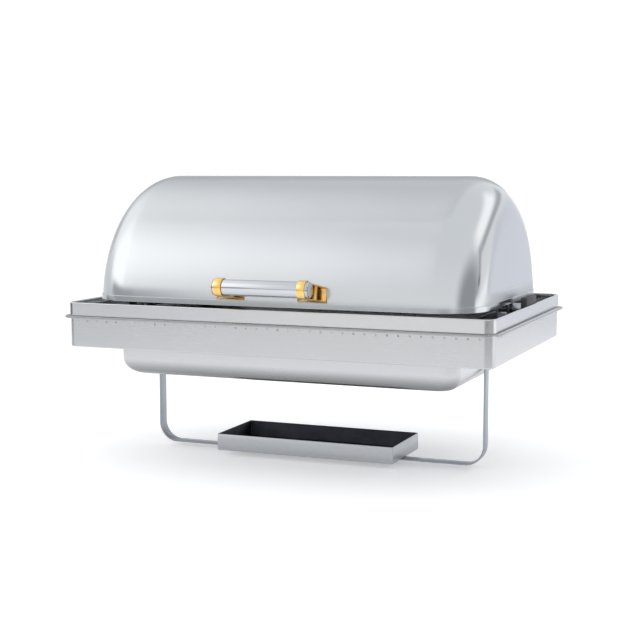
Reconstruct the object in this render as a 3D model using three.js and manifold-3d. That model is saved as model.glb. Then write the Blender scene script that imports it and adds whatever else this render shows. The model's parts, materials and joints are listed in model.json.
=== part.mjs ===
// Drop-in chafing dish: a roll-top food warmer that hangs by its flange in a counter cut-out.
// Millimetres, +Z up, +X to the right of the person serving, who stands on the -Y side.
// The origin is the centre of the unit, in the plane of the counter top.
import * as THREE from 'three';
import * as BufferGeometryUtils from 'three/addons/utils/BufferGeometryUtils.js';
import Module from 'manifold-3d';

// ---- driving dimensions -------------------------------------------------------------------

const GAP = 0.3; // between touching pieces
const SHEET = 1.2; // pressed stainless sheet
const PLATE = 2.5; // brackets and strap
const CORNER_STEPS = 6; // facets in a quarter round
const FAR = 400; // beyond the unit on every side, for cutting blocks
const HOLE_DEPTH = 10; // how far a hole's cutter runs each way from the sheet it pierces
const SIDES = [{ name: 'left', sign: -1 }, { name: 'right', sign: 1 }];

const RIM = { halfX: 313.5, halfY: 197.5, corner: 15, top: 22, bead: 2.7, beadDepth: 2.5 };
const FLANGE = { reach: 7, thickness: 1.2, edge: 3 };
const SKIRT = { halfX: 312, halfY: 196, corner: 13.5, top: 14, bottom: -41.5, returnLeg: 8 };
const DECK = { top: -6.5, thickness: 1.5, flange: 9.5, rearEdge: -2, openX: 262, openY: 159, corner: 10 };
const COLLAR = { halfX: 268, halfY: 167.5, corner: 24, top: 5.7, openX: 256.2, openY: 158, openCorner: 12 };
const WATER_PAN = {
  flangeX: 266, flangeY: 165.5, flangeCorner: 22, flangeTop: 7.2,
  topX: 254.6, topY: 156.5, kneeX: 253.8, kneeY: 155.5, kneeZ: -59, corner: 20,
  floorX: 229, floorY: 130, bottom: -84.2, floorCorner: 14,
};
const FOOD_PAN = {
  flangeX: 265, flangeY: 162.5, flangeCorner: 30, flangeTop: 8.7,
  topX: 252, topY: 149.5, corner: 28, kneeX: 245, kneeY: 142.5, kneeZ: -44,
  floorX: 234, floorY: 131.5, bottom: -57, floorCorner: 20, sheet: 1,
};

const AXIS_Z = 17.5; // height of the cover's pivot axis, which runs along X
const COVER = { radius: 184, halfLength: 287.3, cornerRound: 62, bottom: 25, turnSteps: 72, roundSteps: 8 };
const HEM = { height: 8, gap: 0.4, thickness: 1, edge: 0.4 };

const PIVOT = { pinRadius: 5, clearance: 0.3, headRadius: 8, headThickness: 2.2, pinEnd: 308 };
const SLOT = { depth: 0.8, width: 1.6 };
const EAR = { halfWidth: 20, top: 62, shoulder: 38, round: 14 };
const BUSH = { outerRadius: 7, flangeRadius: 9, flangeThickness: 1.5, innerEnd: 283, outerEnd: 288.6 };
const SPACER = { outerRadius: 7.5, innerEnd: 288.9 };
const LUG = { inner: 268.3, halfWidth: 14, bottom: -5.9, top: 31 };
const BLOCK = { inner: 302, outer: 310.5, front: -9, rear: 47, bottom: -6.2, top: 33, edge: 2 };
const BLOCK_STUD = { radius: 2, length: 12.5, nut: 4, nutHeight: 2, places: [[22, 4], [38, 4]] };

const STRAP = {
  armX: 256.3, centreY: -17, width: 18, bottom: -204.5, bend: 28, tabZ: -9.55, tabEnd: 292, tabBend: 5,
};
const TRAY = { halfX: 137, halfY: 59, centreY: -12, corner: 1.5, sheet: 1, top: -178.5 };
const TRAY_SCREW_X = 112;

const TUBE = { radius: 11, wall: 1.2, halfLength: 68.2, seat: 0.3 };
const PLUG = { capThickness: 1.5, spigot: 10, edge: 1.2 };
const HANDLE = { footAngle: 8.1, standOff: 32, rise: 5, ringX: 60.5, ringWidth: 10.8, ringWall: 1.4 };
const FOOT = { width: 41, halfHeight: 10, thickness: 2.5, armWall: 2, flare: 8 };
const WEB = { distance: 14, thickness: 2, low: -8.6, high: 12.4 };

const M4 = { shank: 2, length: 9.3, head: 3.9, headHeight: 2.6, nut: 4, nutHeight: 3.2, hole: 2.3 };
const M6 = { shank: 3, length: 12.8, head: 6, headHeight: 3.2, nut: 5.7, nutHeight: 5, hole: 3.3 };
const WASHER = { radius: 8, thickness: 1.2 };

const CLOSED_BUMPER = { x: 200, y: -183.6, radius: 5 };
const OPEN_BUMPER = { inner: 280, outer: 300, front: -7.5, rear: 7.2, height: 6.7, edge: 1.5 };

// ---- materials ----------------------------------------------------------------------------

const finish = (color, roughness, metalness) => ({ color, roughness, metalness });
const POLISHED = finish(0xd6d9dc, 0.18, 1);
const SATIN = finish(0xc4c8cc, 0.35, 1);
const GREY_STEEL = finish(0xa9b0b8, 0.4, 1);
const BRASS = finish(0xe0a23c, 0.25, 1);
const BLACK = finish(0x16171a, 0.6, 0);
const DARK_GREY = finish(0x4a4b50, 0.65, 0);
const NYLON = finish(0xe6e4dc, 0.5, 0);

// ---- joining and cutting ------------------------------------------------------------------

const wasm = await Module();
wasm.setup();

function toSolid(geometry) {
  const bare = geometry.clone();
  bare.deleteAttribute('normal');
  bare.deleteAttribute('uv');
  const merged = BufferGeometryUtils.mergeVertices(bare, 1e-4);
  const index = merged.index.array;
  const kept = [];
  for (let i = 0; i < index.length; i += 3) {
    const [a, b, c] = [index[i], index[i + 1], index[i + 2]];
    if (a !== b && b !== c && c !== a) kept.push(a, b, c);
  }
  const mesh = new wasm.Mesh({
    numProp: 3,
    vertProperties: new Float32Array(merged.attributes.position.array),
    triVerts: new Uint32Array(kept),
  });
  return new wasm.Manifold(mesh);
}

function toGeometry(solid) {
  const mesh = solid.getMesh();
  const geometry = new THREE.BufferGeometry();
  geometry.setAttribute('position', new THREE.BufferAttribute(mesh.vertProperties, 3));
  geometry.setIndex(new THREE.BufferAttribute(mesh.triVerts, 1));
  return geometry;
}

function cut(geometry, ...tools) {
  const start = toSolid(geometry);
  return toGeometry(tools.reduce((solid, tool) => solid.subtract(toSolid(tool)), start));
}

function join(geometry, ...others) {
  const start = toSolid(geometry);
  return toGeometry(others.reduce((solid, other) => solid.add(toSolid(other)), start));
}

function common(geometry, other) {
  return toGeometry(toSolid(geometry).intersect(toSolid(other)));
}

// ---- shared shapes ------------------------------------------------------------------------

const AXIS_X = new THREE.Vector3(1, 0, 0);
const AXIS_Y = new THREE.Vector3(0, 1, 0);
const AXIS_UP = new THREE.Vector3(0, 0, 1);

// A box given by its lowest and highest corners.
function box(low, high) {
  const size = high.map((value, i) => value - low[i]);
  const centre = high.map((value, i) => (value + low[i]) / 2);
  return new THREE.BoxGeometry(...size).translate(...centre);
}

// One level of a pressing: a rectangle with rounded corners at a height.
function roundedRing(halfX, halfY, corner, z, steps = CORNER_STEPS) {
  const centres = [[1, 1], [-1, 1], [-1, -1], [1, -1]];
  const points = [];
  centres.forEach(([sx, sy], quarter) => {
    for (let i = 0; i <= steps; i += 1) {
      const angle = (quarter + i / steps) * (Math.PI / 2);
      const x = sx * (halfX - corner) + corner * Math.cos(angle);
      const y = sy * (halfY - corner) + corner * Math.sin(angle);
      points.push([x, y, z]);
    }
  });
  return points;
}

// A skin through a list of rings. It closes on itself, or its first and last rings are filled.
function loft(rings, closed) {
  const count = rings[0].length;
  const positions = rings.flat(2);
  const index = [];
  const spans = closed ? rings.length : rings.length - 1;
  for (let r = 0; r < spans; r += 1) {
    const next = (r + 1) % rings.length;
    for (let i = 0; i < count; i += 1) {
      const j = (i + 1) % count;
      const [a, b] = [r * count + i, r * count + j];
      const [c, d] = [next * count + i, next * count + j];
      index.push(a, b, d, a, d, c);
    }
  }
  if (!closed) {
    const last = (rings.length - 1) * count;
    for (let i = 1; i < count - 1; i += 1) {
      index.push(0, i + 1, i);
      index.push(last, last + i, last + i + 1);
    }
  }
  const geometry = new THREE.BufferGeometry();
  geometry.setAttribute('position', new THREE.Float32BufferAttribute(positions, 3));
  geometry.setIndex(index);
  return geometry;
}

// A frame whose section, a list of [outward offset, z], runs round a rounded rectangle.
function frameFromSection(section, { halfX, halfY, corner }) {
  const rings = section.map(([d, z]) => roundedRing(halfX + d, halfY + d, corner + d, z));
  return loft(rings, true);
}

// A solid of revolution along X. Profile points are [distance along X, radius].
function turned(profile, sign, steps = 24) {
  const points = profile.map(([along, radius]) => new THREE.Vector2(radius, along));
  const geometry = new THREE.LatheGeometry(points, steps);
  return geometry.rotateZ(-sign * (Math.PI / 2));
}

// A round bar along X from one distance to another on one side of the unit.
function turnedBar(radius, from, to, sign, steps = 12) {
  return turned([[from, 0], [from, radius], [to, radius], [to, 0]], sign, steps);
}

// A tube along X from one distance to another on one side of the unit.
function sleeve(from, to, inner, outer, sign) {
  return turned([[from, inner], [from, outer], [to, outer], [to, inner], [from, inner]], sign);
}

// An outline drawn in Y and Z, given thickness along X between two distances on one side.
function plateAcrossX(shape, from, to, sign) {
  const geometry = new THREE.ExtrudeGeometry(shape, { depth: to - from, bevelEnabled: false });
  geometry.applyMatrix4(new THREE.Matrix4().makeBasis(AXIS_Y, AXIS_UP, AXIS_X));
  return geometry.translate(sign > 0 ? from : -to, 0, 0);
}

// A round bar along Z between two heights.
function roundBar(radius, low, high, steps = 24) {
  const geometry = new THREE.CylinderGeometry(radius, radius, high - low, steps);
  return geometry.rotateX(Math.PI / 2).translate(0, 0, (low + high) / 2);
}

// A cutter for a screw hole through a sheet at a height.
function holeCutter(size, z) {
  return roundBar(size.hole, z - HOLE_DEPTH, z + HOLE_DEPTH, 16);
}

// A screw pointing down -Z, its head's underside at zero, with a socket in the head.
function screw({ shank, length, head, headHeight }) {
  const dome = headHeight * 0.55;
  const crown = head * 0.72;
  const tipEdge = 0.3;
  const profile = [
    [0, -length], [shank - tipEdge, -length], [shank, tipEdge - length], [shank, 0],
    [head, 0], [head, dome], [crown, headHeight], [0, headHeight],
  ].map(([radius, z]) => new THREE.Vector2(radius, z));
  const body = new THREE.LatheGeometry(profile, 20).rotateX(Math.PI / 2);
  return cut(body, roundBar(shank, headHeight * 0.4, headHeight + 1, 6));
}

// A hexagon nut standing on zero, with its bore clear of the screw.
function nut(size) {
  const hexagon = roundBar(size.nut, 0, size.nutHeight, 6);
  return cut(hexagon, roundBar(size.shank + GAP, -1, size.nutHeight + 1, 16));
}

// ---- the object ---------------------------------------------------------------------------

const unit = new THREE.Group();

function add(name, geometry, look, parent = unit) {
  const mesh = new THREE.Mesh(geometry, new THREE.MeshStandardMaterial(look));
  mesh.name = name;
  parent.add(mesh);
  return mesh;
}

// Upper rim: rolled bead, upright wall, and the flange that rests on the counter.
function rimFrame() {
  const { top, bead, beadDepth } = RIM;
  const { reach, thickness, edge } = FLANGE;
  const lip = reach - 1.4;
  const ease = 0.8;
  return frameFromSection([
    [-SHEET, 0], [reach - ease, 0], [reach, ease], [reach, edge - ease], [reach - ease, edge],
    [lip, edge], [lip, thickness], [0, thickness], [0, top - ease], [-ease, top],
    [ease - bead, top], [-bead, top - ease], [-bead, top - beadDepth], [-SHEET, top - beadDepth],
  ], RIM);
}

// Lower skirt below the flange, with a leg turned in along its bottom edge and the weld studs
// for the pivot blocks on its end walls.
function skirt() {
  const { halfX, top, bottom, returnLeg } = SKIRT;
  const leg = SHEET + returnLeg;
  const frame = frameFromSection([
    [0, bottom], [0, top], [-SHEET, top], [-SHEET, bottom + SHEET], [-leg, bottom + SHEET],
    [-leg, bottom],
  ], SKIRT);
  const rooted = halfX - SHEET / 2;
  const studs = SIDES.flatMap(({ sign }) => BLOCK_STUD.places.map(([y, z]) => {
    return turnedBar(BLOCK_STUD.radius, halfX - BLOCK_STUD.length, rooted, sign).translate(0, y, z);
  }));
  return join(frame, ...studs);
}

// Well deck: the U-shaped shelf inside the skirt. The cover rolls down behind it.
function wellDeck() {
  const { top, thickness, flange, rearEdge, openX, openY, corner } = DECK;
  const inset = SHEET + GAP;
  const halfX = SKIRT.halfX - inset;
  const halfY = SKIRT.halfY - inset;
  const round = SKIRT.corner - inset;
  const inner = (z) => roundedRing(halfX - SHEET, halfY - SHEET, round - SHEET, z);
  const ring = loft([
    roundedRing(halfX, halfY, round, top),
    roundedRing(openX, openY, corner, top),
    roundedRing(openX, openY, corner, top - thickness),
    inner(top - thickness),
    inner(top - flange),
    roundedRing(halfX, halfY, round, top - flange),
  ], true);
  const rear = box([-FAR, rearEdge, -FAR], [FAR, FAR, FAR]);
  const screwHoles = SIDES.map(({ sign }) => {
    return holeCutter(M4, top).translate(sign * strapScrewX(), STRAP.centreY, 0);
  });
  return cut(ring, rear, ...screwHoles);
}

// Collar that carries the water pan: a flat ledge with a leg down to the deck.
function panCollar() {
  const { halfX, halfY, corner, top, openX, openY, openCorner } = COLLAR;
  const wall = 1.5;
  const foot = DECK.top + GAP;
  const outer = (z) => roundedRing(halfX, halfY, corner, z);
  const open = (z) => roundedRing(openX, openY, openCorner, z);
  const inner = (z) => roundedRing(halfX - wall, halfY - wall, corner - wall, z);
  return loft([
    outer(foot), outer(top), open(top), open(top - wall), inner(top - wall), inner(foot),
  ], true);
}

// A pan: outer skin from the middle of the floor up and over the flange, then down inside.
function pan(size, wall) {
  const kneeSteps = 5;
  const levels = (shrink) => {
    const rings = [];
    const rise = size.kneeZ - size.bottom;
    for (let i = 0; i <= kneeSteps; i += 1) {
      const turn = (i / kneeSteps) * (Math.PI / 2);
      const halfX = size.floorX + (size.kneeX - size.floorX) * Math.sin(turn) - shrink;
      const halfY = size.floorY + (size.kneeY - size.floorY) * Math.sin(turn) - shrink;
      const corner = size.floorCorner + (size.corner - size.floorCorner) * Math.sin(turn);
      const z = size.bottom + (rise - shrink) * (1 - Math.cos(turn)) + shrink;
      rings.push(roundedRing(halfX, halfY, corner, z));
    }
    return rings;
  };
  const under = size.flangeTop - wall;
  const outside = levels(0);
  outside.push(roundedRing(size.topX, size.topY, size.corner, under));
  outside.push(roundedRing(size.flangeX, size.flangeY, size.flangeCorner, under));
  outside.push(roundedRing(size.flangeX, size.flangeY, size.flangeCorner, size.flangeTop));
  const inside = levels(wall);
  inside.push(roundedRing(size.topX - wall, size.topY - wall, size.corner, size.flangeTop));
  return loft([...outside, ...inside.reverse()], false);
}

// The cover's outline turned about its own axis, for a given inset from the outside.
function coverBody(inset) {
  const { radius, halfLength, cornerRound, turnSteps, roundSteps } = COVER;
  const end = halfLength - inset;
  const round = cornerRound - inset;
  const flat = halfLength - cornerRound;
  const base = radius - cornerRound;
  const half = [];
  for (let i = 0; i <= roundSteps; i += 1) {
    const turn = (i / roundSteps) * (Math.PI / 2);
    half.push([flat + round * Math.cos(turn), base + round * Math.sin(turn)]);
  }
  const mirrored = half.map(([along, r]) => [-along, r]);
  const profile = [[-end, 0], ...mirrored, ...half.reverse(), [end, 0]];
  return turned(profile, 1, turnSteps).translate(0, 0, AXIS_Z);
}

// Roll-top cover: a drawn barrel with large round corners into flat cheeks, open below.
function coverShell() {
  const above = box([-FAR, -FAR, COVER.bottom], [FAR, FAR, FAR]);
  const shell = common(cut(coverBody(0), coverBody(SHEET)), above);
  const holes = SIDES.map(({ sign }) => {
    return onFoot(holeCutter(M6, 0).translate(sign * HANDLE.ringX, 0, 0));
  });
  return cut(shell, ...holes);
}

// Folded hem round the cover's lower edge.
function coverHem() {
  const { height, gap, thickness, edge } = HEM;
  const { halfLength, radius, cornerRound, bottom, roundSteps } = COVER;
  const ring = (offset, z) => {
    return roundedRing(halfLength + offset, radius + offset, cornerRound + offset, z, roundSteps);
  };
  const high = bottom + height;
  const outer = gap + thickness;
  return loft([
    ring(outer, bottom), ring(outer, high - edge), ring(outer - edge, high), ring(gap, high),
    ring(gap, bottom),
  ], true);
}

// ---- pivots -------------------------------------------------------------------------------

// Outline of a plate that hangs from a straight top and ends in a round about the pivot axis.
function pivotOutline(halfWidth, top, shoulder, round, holeRadius) {
  const shape = new THREE.Shape();
  shape.moveTo(-halfWidth, top);
  shape.lineTo(-halfWidth, shoulder);
  shape.lineTo(-round, AXIS_Z);
  shape.absarc(0, AXIS_Z, round, Math.PI, 2 * Math.PI, false);
  shape.lineTo(halfWidth, shoulder);
  shape.lineTo(halfWidth, top);
  const hole = new THREE.Path();
  hole.absarc(0, AXIS_Z, holeRadius, 0, 2 * Math.PI, true);
  shape.holes.push(hole);
  return shape;
}

// Ear welded inside each cheek, hanging below its edge to carry the pivot.
function coverEar(sign) {
  const outer = COVER.halfLength - SHEET - GAP;
  const shape = pivotOutline(EAR.halfWidth, EAR.top, EAR.shoulder, EAR.round, BUSH.outerRadius + GAP);
  return plateAcrossX(shape, outer - PLATE, outer, sign);
}

// Flanged nylon bush in the ear.
function pivotBush(sign) {
  const inner = PIVOT.pinRadius + PIVOT.clearance;
  const flange = BUSH.innerEnd - BUSH.flangeThickness;
  return turned([
    [flange, inner], [flange, BUSH.flangeRadius], [BUSH.innerEnd, BUSH.flangeRadius],
    [BUSH.innerEnd, BUSH.outerRadius], [BUSH.outerEnd, BUSH.outerRadius], [BUSH.outerEnd, inner],
    [flange, inner],
  ], sign).translate(0, 0, AXIS_Z);
}

// Shoulder pin from the collar's lug, through the ear, into the pivot block.
function pivotPin(sign) {
  const { pinRadius, headRadius, headThickness, pinEnd } = PIVOT;
  const seat = LUG.inner - GAP;
  const start = seat - headThickness;
  const headEdge = 0.6;
  const tipEdge = 1;
  const pin = turned([
    [start, 0], [start, headRadius - headEdge], [start + headEdge, headRadius], [seat, headRadius],
    [seat, pinRadius], [pinEnd - tipEdge, pinRadius], [pinEnd, pinRadius - tipEdge], [pinEnd, 0],
  ], sign);
  const slot = new THREE.BoxGeometry(2 * SLOT.depth, 2 * headRadius + 2, SLOT.width);
  return cut(pin, slot.translate(sign * start, 0, 0)).translate(0, 0, AXIS_Z);
}

// Lug that stands on the collar's end and holds the pin's inner end.
function collarLug(sign) {
  const shape = new THREE.Shape();
  const round = LUG.top - AXIS_Z;
  shape.moveTo(-LUG.halfWidth, LUG.bottom);
  shape.lineTo(LUG.halfWidth, LUG.bottom);
  shape.lineTo(round, AXIS_Z);
  shape.absarc(0, AXIS_Z, round, 0, Math.PI, false);
  const hole = new THREE.Path();
  hole.absarc(0, AXIS_Z, PIVOT.pinRadius + PIVOT.clearance, 0, 2 * Math.PI, true);
  shape.holes.push(hole);
  return plateAcrossX(shape, LUG.inner, LUG.inner + PLATE, sign);
}

// Moulded block on the skirt's end wall that holds the pin's outer end.
function pivotBlock(sign) {
  const { inner, outer, front, rear, bottom, top, edge } = BLOCK;
  const shape = new THREE.Shape();
  shape.moveTo(front, bottom);
  shape.lineTo(rear, bottom);
  shape.lineTo(rear, top - edge);
  shape.lineTo(rear - edge, top);
  shape.lineTo(front + edge, top);
  shape.lineTo(front, top - edge);
  const bore = turnedBar(PIVOT.pinRadius + PIVOT.clearance, inner - 1, PIVOT.pinEnd + GAP, sign, 24);
  const studHoles = BLOCK_STUD.places.map(([y, z]) => {
    return turnedBar(BLOCK_STUD.radius + GAP, inner - 1, outer + 1, sign).translate(0, y, z);
  });
  return cut(plateAcrossX(shape, inner, outer, sign), bore.translate(0, 0, AXIS_Z), ...studHoles);
}

// Thin nut on one of the block's weld studs.
function blockNut(sign, [y, z]) {
  const { radius, nut: size, nutHeight } = BLOCK_STUD;
  const hexagon = roundBar(size, 0, nutHeight, 6);
  const geometry = cut(hexagon, roundBar(radius + GAP, -1, nutHeight + 1, 12));
  const outward = geometry.rotateY(sign * (Math.PI / 2));
  return outward.translate(sign * (BLOCK.inner - GAP - nutHeight), y, z);
}

// Rubber pad under the deck's rear edge that stops the cover's cheek when the cover is open.
function openBumper(sign) {
  const { inner, outer, front, rear, height, edge } = OPEN_BUMPER;
  const high = DECK.top - DECK.thickness - GAP;
  const low = high - height;
  const shape = new THREE.Shape();
  shape.moveTo(front, high);
  shape.lineTo(front, low + edge);
  shape.lineTo(front + edge, low);
  shape.lineTo(rear - edge, low);
  shape.lineTo(rear, low + edge);
  shape.lineTo(rear, high);
  return plateAcrossX(shape, inner, outer, sign);
}

// ---- strap and fuel tray ------------------------------------------------------------------

// How far out each strap screw is, in the middle of the strap's tab.
function strapScrewX() {
  return (STRAP.armX + STRAP.tabBend + STRAP.tabEnd) / 2;
}

// Points of a quarter bend about a centre, from one angle to another.
function bendPoints(centreX, centreZ, radius, from, to, steps) {
  const points = [];
  for (let i = 0; i <= steps; i += 1) {
    const angle = from + ((to - from) * i) / steps;
    points.push([centreX + radius * Math.cos(angle), centreZ + radius * Math.sin(angle)]);
  }
  return points;
}

// One bent strap: a tab under each end of the deck, two arms and the bar under the pan.
function strap() {
  const { armX, centreY, width, bottom, bend, tabZ, tabEnd, tabBend } = STRAP;
  const quarter = Math.PI / 2;
  const face = (offset) => [
    [tabEnd, tabZ + offset],
    ...bendPoints(armX + tabBend, tabZ - tabBend, tabBend + offset, quarter, 2 * quarter, 4),
    ...bendPoints(armX - bend, bottom + bend, bend - offset, 0, -quarter, 8),
  ];
  const mirrored = (points) => points.map(([x, z]) => [-x, z]);
  const upper = face(PLATE / 2);
  const lower = face(-PLATE / 2);
  const outline = [
    ...upper, ...mirrored(upper).reverse(), ...mirrored(lower), ...[...lower].reverse(),
  ];
  const shape = new THREE.Shape(outline.map(([x, z]) => new THREE.Vector2(x, z)));
  const geometry = new THREE.ExtrudeGeometry(shape, { depth: width, bevelEnabled: false });
  geometry.applyMatrix4(new THREE.Matrix4().makeBasis(AXIS_X, AXIS_UP, AXIS_Y.clone().negate()));
  geometry.translate(0, centreY + width / 2, 0);
  const holes = SIDES.flatMap(({ sign }) => [
    holeCutter(M4, tabZ).translate(sign * strapScrewX(), centreY, 0),
    holeCutter(M4, bottom).translate(sign * TRAY_SCREW_X, centreY, 0),
  ]);
  return cut(geometry, ...holes);
}

// Open tray that the fuel cans stand in.
function fuelTray() {
  const { halfX, halfY, corner, centreY, sheet, top } = TRAY;
  const low = trayBottom();
  const outer = (z) => roundedRing(halfX, halfY, corner, z, 2);
  const inner = (z) => roundedRing(halfX - sheet, halfY - sheet, corner, z, 2);
  const shell = loft([outer(low), outer(top), inner(top), inner(low + sheet)], false);
  const holes = SIDES.map(({ sign }) => {
    return holeCutter(M4, low).translate(sign * TRAY_SCREW_X, STRAP.centreY - centreY, 0);
  });
  return cut(shell, ...holes).translate(0, centreY, 0);
}

// Underside of the fuel tray, resting on the strap's bar.
function trayBottom() {
  return STRAP.bottom + PLATE / 2 + GAP;
}

// ---- handle, drawn in a frame on the cover: X along the tube, Y up the barrel, Z outwards --

// Turn about X that takes the handle's own frame to the unit's.
function handleTilt() {
  return Math.PI / 2 - THREE.MathUtils.degToRad(HANDLE.footAngle);
}

// Point on the cover's outer face behind the middle of the handle.
function footCentre() {
  const angle = THREE.MathUtils.degToRad(HANDLE.footAngle);
  return [0, -COVER.radius * Math.cos(angle), AXIS_Z + COVER.radius * Math.sin(angle)];
}

// Moves a shape drawn in the handle's frame onto the cover.
function onFoot(geometry) {
  return geometry.rotateX(handleTilt()).translate(...footCentre());
}

// An outline drawn in [outwards, up], given the foot's full width along X.
function acrossFoot(points) {
  const shape = new THREE.Shape(points.map(([outward, up]) => new THREE.Vector2(outward, up)));
  const geometry = new THREE.ExtrudeGeometry(shape, { depth: FOOT.width, bevelEnabled: false });
  geometry.applyMatrix4(new THREE.Matrix4().makeBasis(AXIS_UP, AXIS_Y, AXIS_X.clone().negate()));
  return geometry.translate(FOOT.width / 2, 0, 0);
}

// Plan of a bracket, drawn in [along the tube, inwards]: as wide as the foot at the cover,
// flaring down to the width of the ring.
function bracketPlan() {
  const halfFoot = FOOT.width / 2;
  const halfRing = HANDLE.ringWidth / 2;
  const flareEnd = FOOT.flare - HANDLE.standOff;
  const beyond = -2 * HANDLE.standOff;
  const plan = new THREE.Shape([
    [-halfFoot, 0], [halfFoot, 0], [halfFoot, -FOOT.thickness], [halfRing, flareEnd], [halfRing, beyond],
    [-halfRing, beyond], [-halfRing, flareEnd], [-halfFoot, -FOOT.thickness],
  ].map(([x, inward]) => new THREE.Vector2(x, inward)));
  const depth = 2 * HANDLE.standOff;
  const block = new THREE.ExtrudeGeometry(plan, { depth, bevelEnabled: false });
  return block.rotateX(-Math.PI / 2).translate(0, -depth / 2, 0);
}

// One of a bracket's two arms, above (way 1) or below (way -1) the other.
function bracketArm(way, ringRadius) {
  const { halfHeight, armWall } = FOOT;
  const sink = 0.3;
  const footEdge = way * halfHeight;
  const ringEdge = HANDLE.rise + way * (ringRadius - sink);
  const line = [
    [GAP, footEdge], [HANDLE.standOff, ringEdge], [HANDLE.standOff, ringEdge - way * armWall],
    [GAP, footEdge - way * armWall],
  ];
  return acrossFoot(way > 0 ? line.reverse() : line);
}

// Bracket: a ring round the tube, two arms that flare back to the foot, and a web between them.
function handleBracket() {
  const { standOff, rise, ringWall } = HANDLE;
  const { width, halfHeight, thickness } = FOOT;
  const bore = TUBE.radius + TUBE.seat;
  const ringRadius = bore + ringWall;
  const reach = WEB.distance + WEB.thickness;
  const foot = acrossFoot([
    [GAP, -halfHeight], [thickness, -halfHeight], [thickness, halfHeight], [GAP, halfHeight],
  ]);
  const web = acrossFoot([
    [WEB.distance, WEB.low], [reach, WEB.low], [reach, WEB.high], [WEB.distance, WEB.high],
  ]);
  const arms = [bracketArm(1, ringRadius), bracketArm(-1, ringRadius)];
  const ring = turnedBar(ringRadius, -width / 2, width / 2, 1, 32).translate(0, rise, standOff);
  const whole = common(join(foot, ...arms, web, ring), bracketPlan());
  const tubeBore = turnedBar(bore, -width, width, 1, 32).translate(0, rise, standOff);
  return cut(whole, tubeBore, holeCutter(M6, 0));
}

// Handle tube, open at both ends.
function handleTube() {
  const { radius, wall, halfLength } = TUBE;
  return sleeve(-halfLength, halfLength, radius - wall, radius, 1);
}

// End plug: a cap as wide as the tube with a spigot inside it.
function handlePlug(sign) {
  const { radius, wall, halfLength } = TUBE;
  const { capThickness, spigot, edge } = PLUG;
  const spigotRadius = radius - wall - GAP;
  const seat = halfLength + GAP;
  return turned([
    [halfLength - spigot, 0], [halfLength - spigot, spigotRadius], [seat, spigotRadius],
    [seat, radius], [seat + capThickness / 2, radius], [seat + capThickness, radius - edge],
    [seat + capThickness, 0],
  ], sign);
}

// ---- assembly -----------------------------------------------------------------------------

add('rim_frame', rimFrame(), SATIN);
add('skirt', skirt(), SATIN);
add('well_deck', wellDeck(), BLACK);
add('pan_collar', panCollar(), GREY_STEEL);
add('water_pan', pan(WATER_PAN, SHEET), SATIN);
add('food_pan', pan(FOOD_PAN, FOOD_PAN.sheet), POLISHED);
add('carrier_strap', strap(), GREY_STEEL);
add('fuel_tray', fuelTray(), GREY_STEEL);
add('cover_shell', coverShell(), POLISHED);
add('cover_hem', coverHem(), POLISHED);

SIDES.forEach(({ name, sign }) => {
  const pinBore = PIVOT.pinRadius + PIVOT.clearance;
  add(`cover_ear_${name}`, coverEar(sign), GREY_STEEL);
  add(`pivot_bush_${name}`, pivotBush(sign), NYLON);
  add(`pivot_pin_${name}`, pivotPin(sign), POLISHED);
  add(`collar_lug_${name}`, collarLug(sign), GREY_STEEL);
  add(`pivot_block_${name}`, pivotBlock(sign), DARK_GREY);
  const outerSleeve = sleeve(SPACER.innerEnd, BLOCK.inner - GAP, pinBore, SPACER.outerRadius, sign);
  add(`outer_spacer_${name}`, outerSleeve.translate(0, 0, AXIS_Z), GREY_STEEL);
  const innerStart = LUG.inner + PLATE + GAP;
  const innerStop = BUSH.innerEnd - BUSH.flangeThickness - GAP;
  const innerSleeve = sleeve(innerStart, innerStop, pinBore, SPACER.outerRadius, sign);
  add(`inner_spacer_${name}`, innerSleeve.translate(0, 0, AXIS_Z), GREY_STEEL);
  BLOCK_STUD.places.forEach((place, i) => {
    add(`block_nut_${name}_${i + 1}`, blockNut(sign, place), GREY_STEEL);
  });
});

SIDES.forEach(({ name, sign }) => {
  const tabX = sign * strapScrewX();
  const tabFace = STRAP.tabZ - PLATE / 2;
  const strapScrew = add(`strap_screw_${name}`, screw(M4), GREY_STEEL);
  strapScrew.position.set(tabX, STRAP.centreY, DECK.top + GAP);
  const strapNut = add(`strap_nut_${name}`, nut(M4), GREY_STEEL);
  strapNut.position.set(tabX, STRAP.centreY, tabFace - GAP - M4.nutHeight);

  const barFace = STRAP.bottom - PLATE / 2;
  const trayScrew = add(`tray_screw_${name}`, screw(M4), GREY_STEEL);
  trayScrew.position.set(sign * TRAY_SCREW_X, STRAP.centreY, trayBottom() + TRAY.sheet + GAP);
  const trayNut = add(`tray_nut_${name}`, nut(M4), GREY_STEEL);
  trayNut.position.set(sign * TRAY_SCREW_X, STRAP.centreY, barFace - GAP - M4.nutHeight);
});

SIDES.forEach(({ name, sign }) => {
  const closedPad = roundBar(CLOSED_BUMPER.radius, DECK.top + GAP, COVER.bottom - GAP, 16);
  const closed = add(`closed_bumper_${name}`, closedPad, BLACK);
  closed.position.set(sign * CLOSED_BUMPER.x, CLOSED_BUMPER.y, 0);
  add(`open_bumper_${name}`, openBumper(sign), BLACK);
});

const handle = new THREE.Group();
handle.rotation.x = handleTilt();
handle.position.set(...footCentre());
unit.add(handle);
const tube = add('handle_tube', handleTube(), POLISHED, handle);
tube.position.set(0, HANDLE.rise, HANDLE.standOff);

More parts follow.
